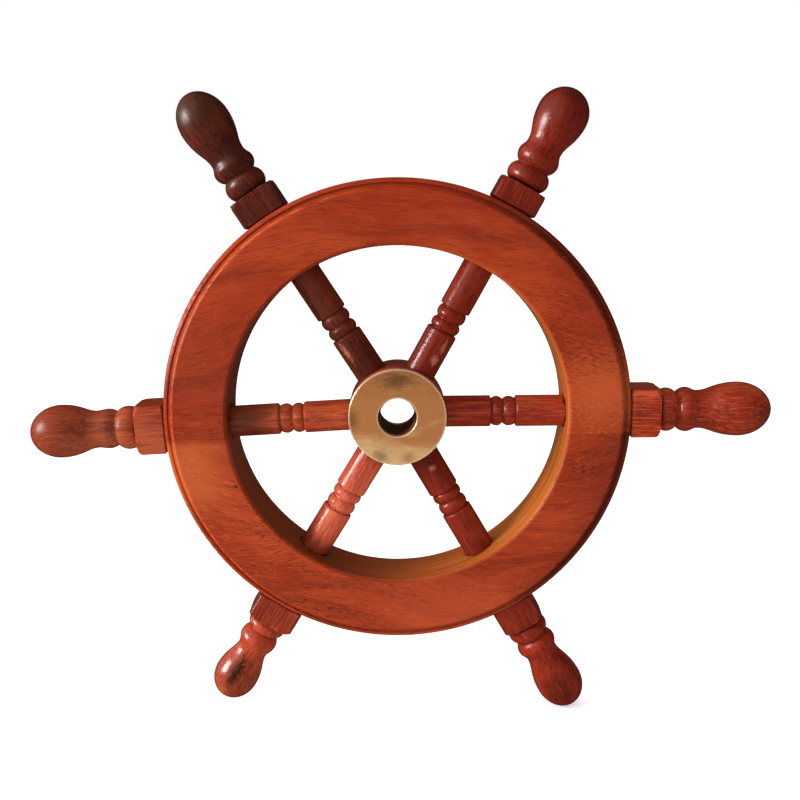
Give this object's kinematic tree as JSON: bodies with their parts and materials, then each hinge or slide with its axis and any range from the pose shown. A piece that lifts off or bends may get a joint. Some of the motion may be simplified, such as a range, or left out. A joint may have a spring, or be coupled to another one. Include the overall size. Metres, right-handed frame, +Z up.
{
  "type": "ship steering wheel",
  "caption": "Wooden ship steering wheel: a turned, moulded rim, turned spokes that run on as handles, and a wooden hub between brass flanges with a plain shaft bore.",
  "frame": {"origin": "on the axle line, midway through the thickness of the rim; the hand-made spokes differ in length, so this is not the centre of the bounding box", "axes": "Y is the axle and the front of the wheel looks towards -Y; Z is up and X is to the right, within a degree of one spoke"},
  "size_m": [0.3101, 0.0274, 0.2654],
  "materials": {
    "rim_wood": "red-brown stained hardwood, satin to gloss varnish",
    "spoke_wood": "dark red stained hardwood, glossy varnish",
    "hub_wood": "red-brown stained hardwood, glossy varnish",
    "flange_brass": "polished, lightly handled",
    "sleeve_brass": "drawn tube, dark and unpolished",
    "brad_steel": "plain steel, set flush"
  },
  "bodies": {
    "root": {"rim_upper_board": "rim_wood", "rim_lower_board": "rim_wood", "hub_block": "hub_wood", "front_hub_flange": "flange_brass", "rear_hub_flange": "flange_brass", "shaft_sleeve": "sleeve_brass", "spoke_right": "spoke_wood", "spoke_upper_right": "spoke_wood", "spoke_upper_left": "spoke_wood", "spoke_left": "spoke_wood", "spoke_lower_left": "spoke_wood", "spoke_lower_right": "spoke_wood", "spoke_brad_right": "brad_steel", "spoke_brad_upper_right": "brad_steel", "spoke_brad_upper_left": "brad_steel", "spoke_brad_left": "brad_steel", "spoke_brad_lower_left": "brad_steel", "spoke_brad_lower_right": "brad_steel"}
  },
  "joints": []
}
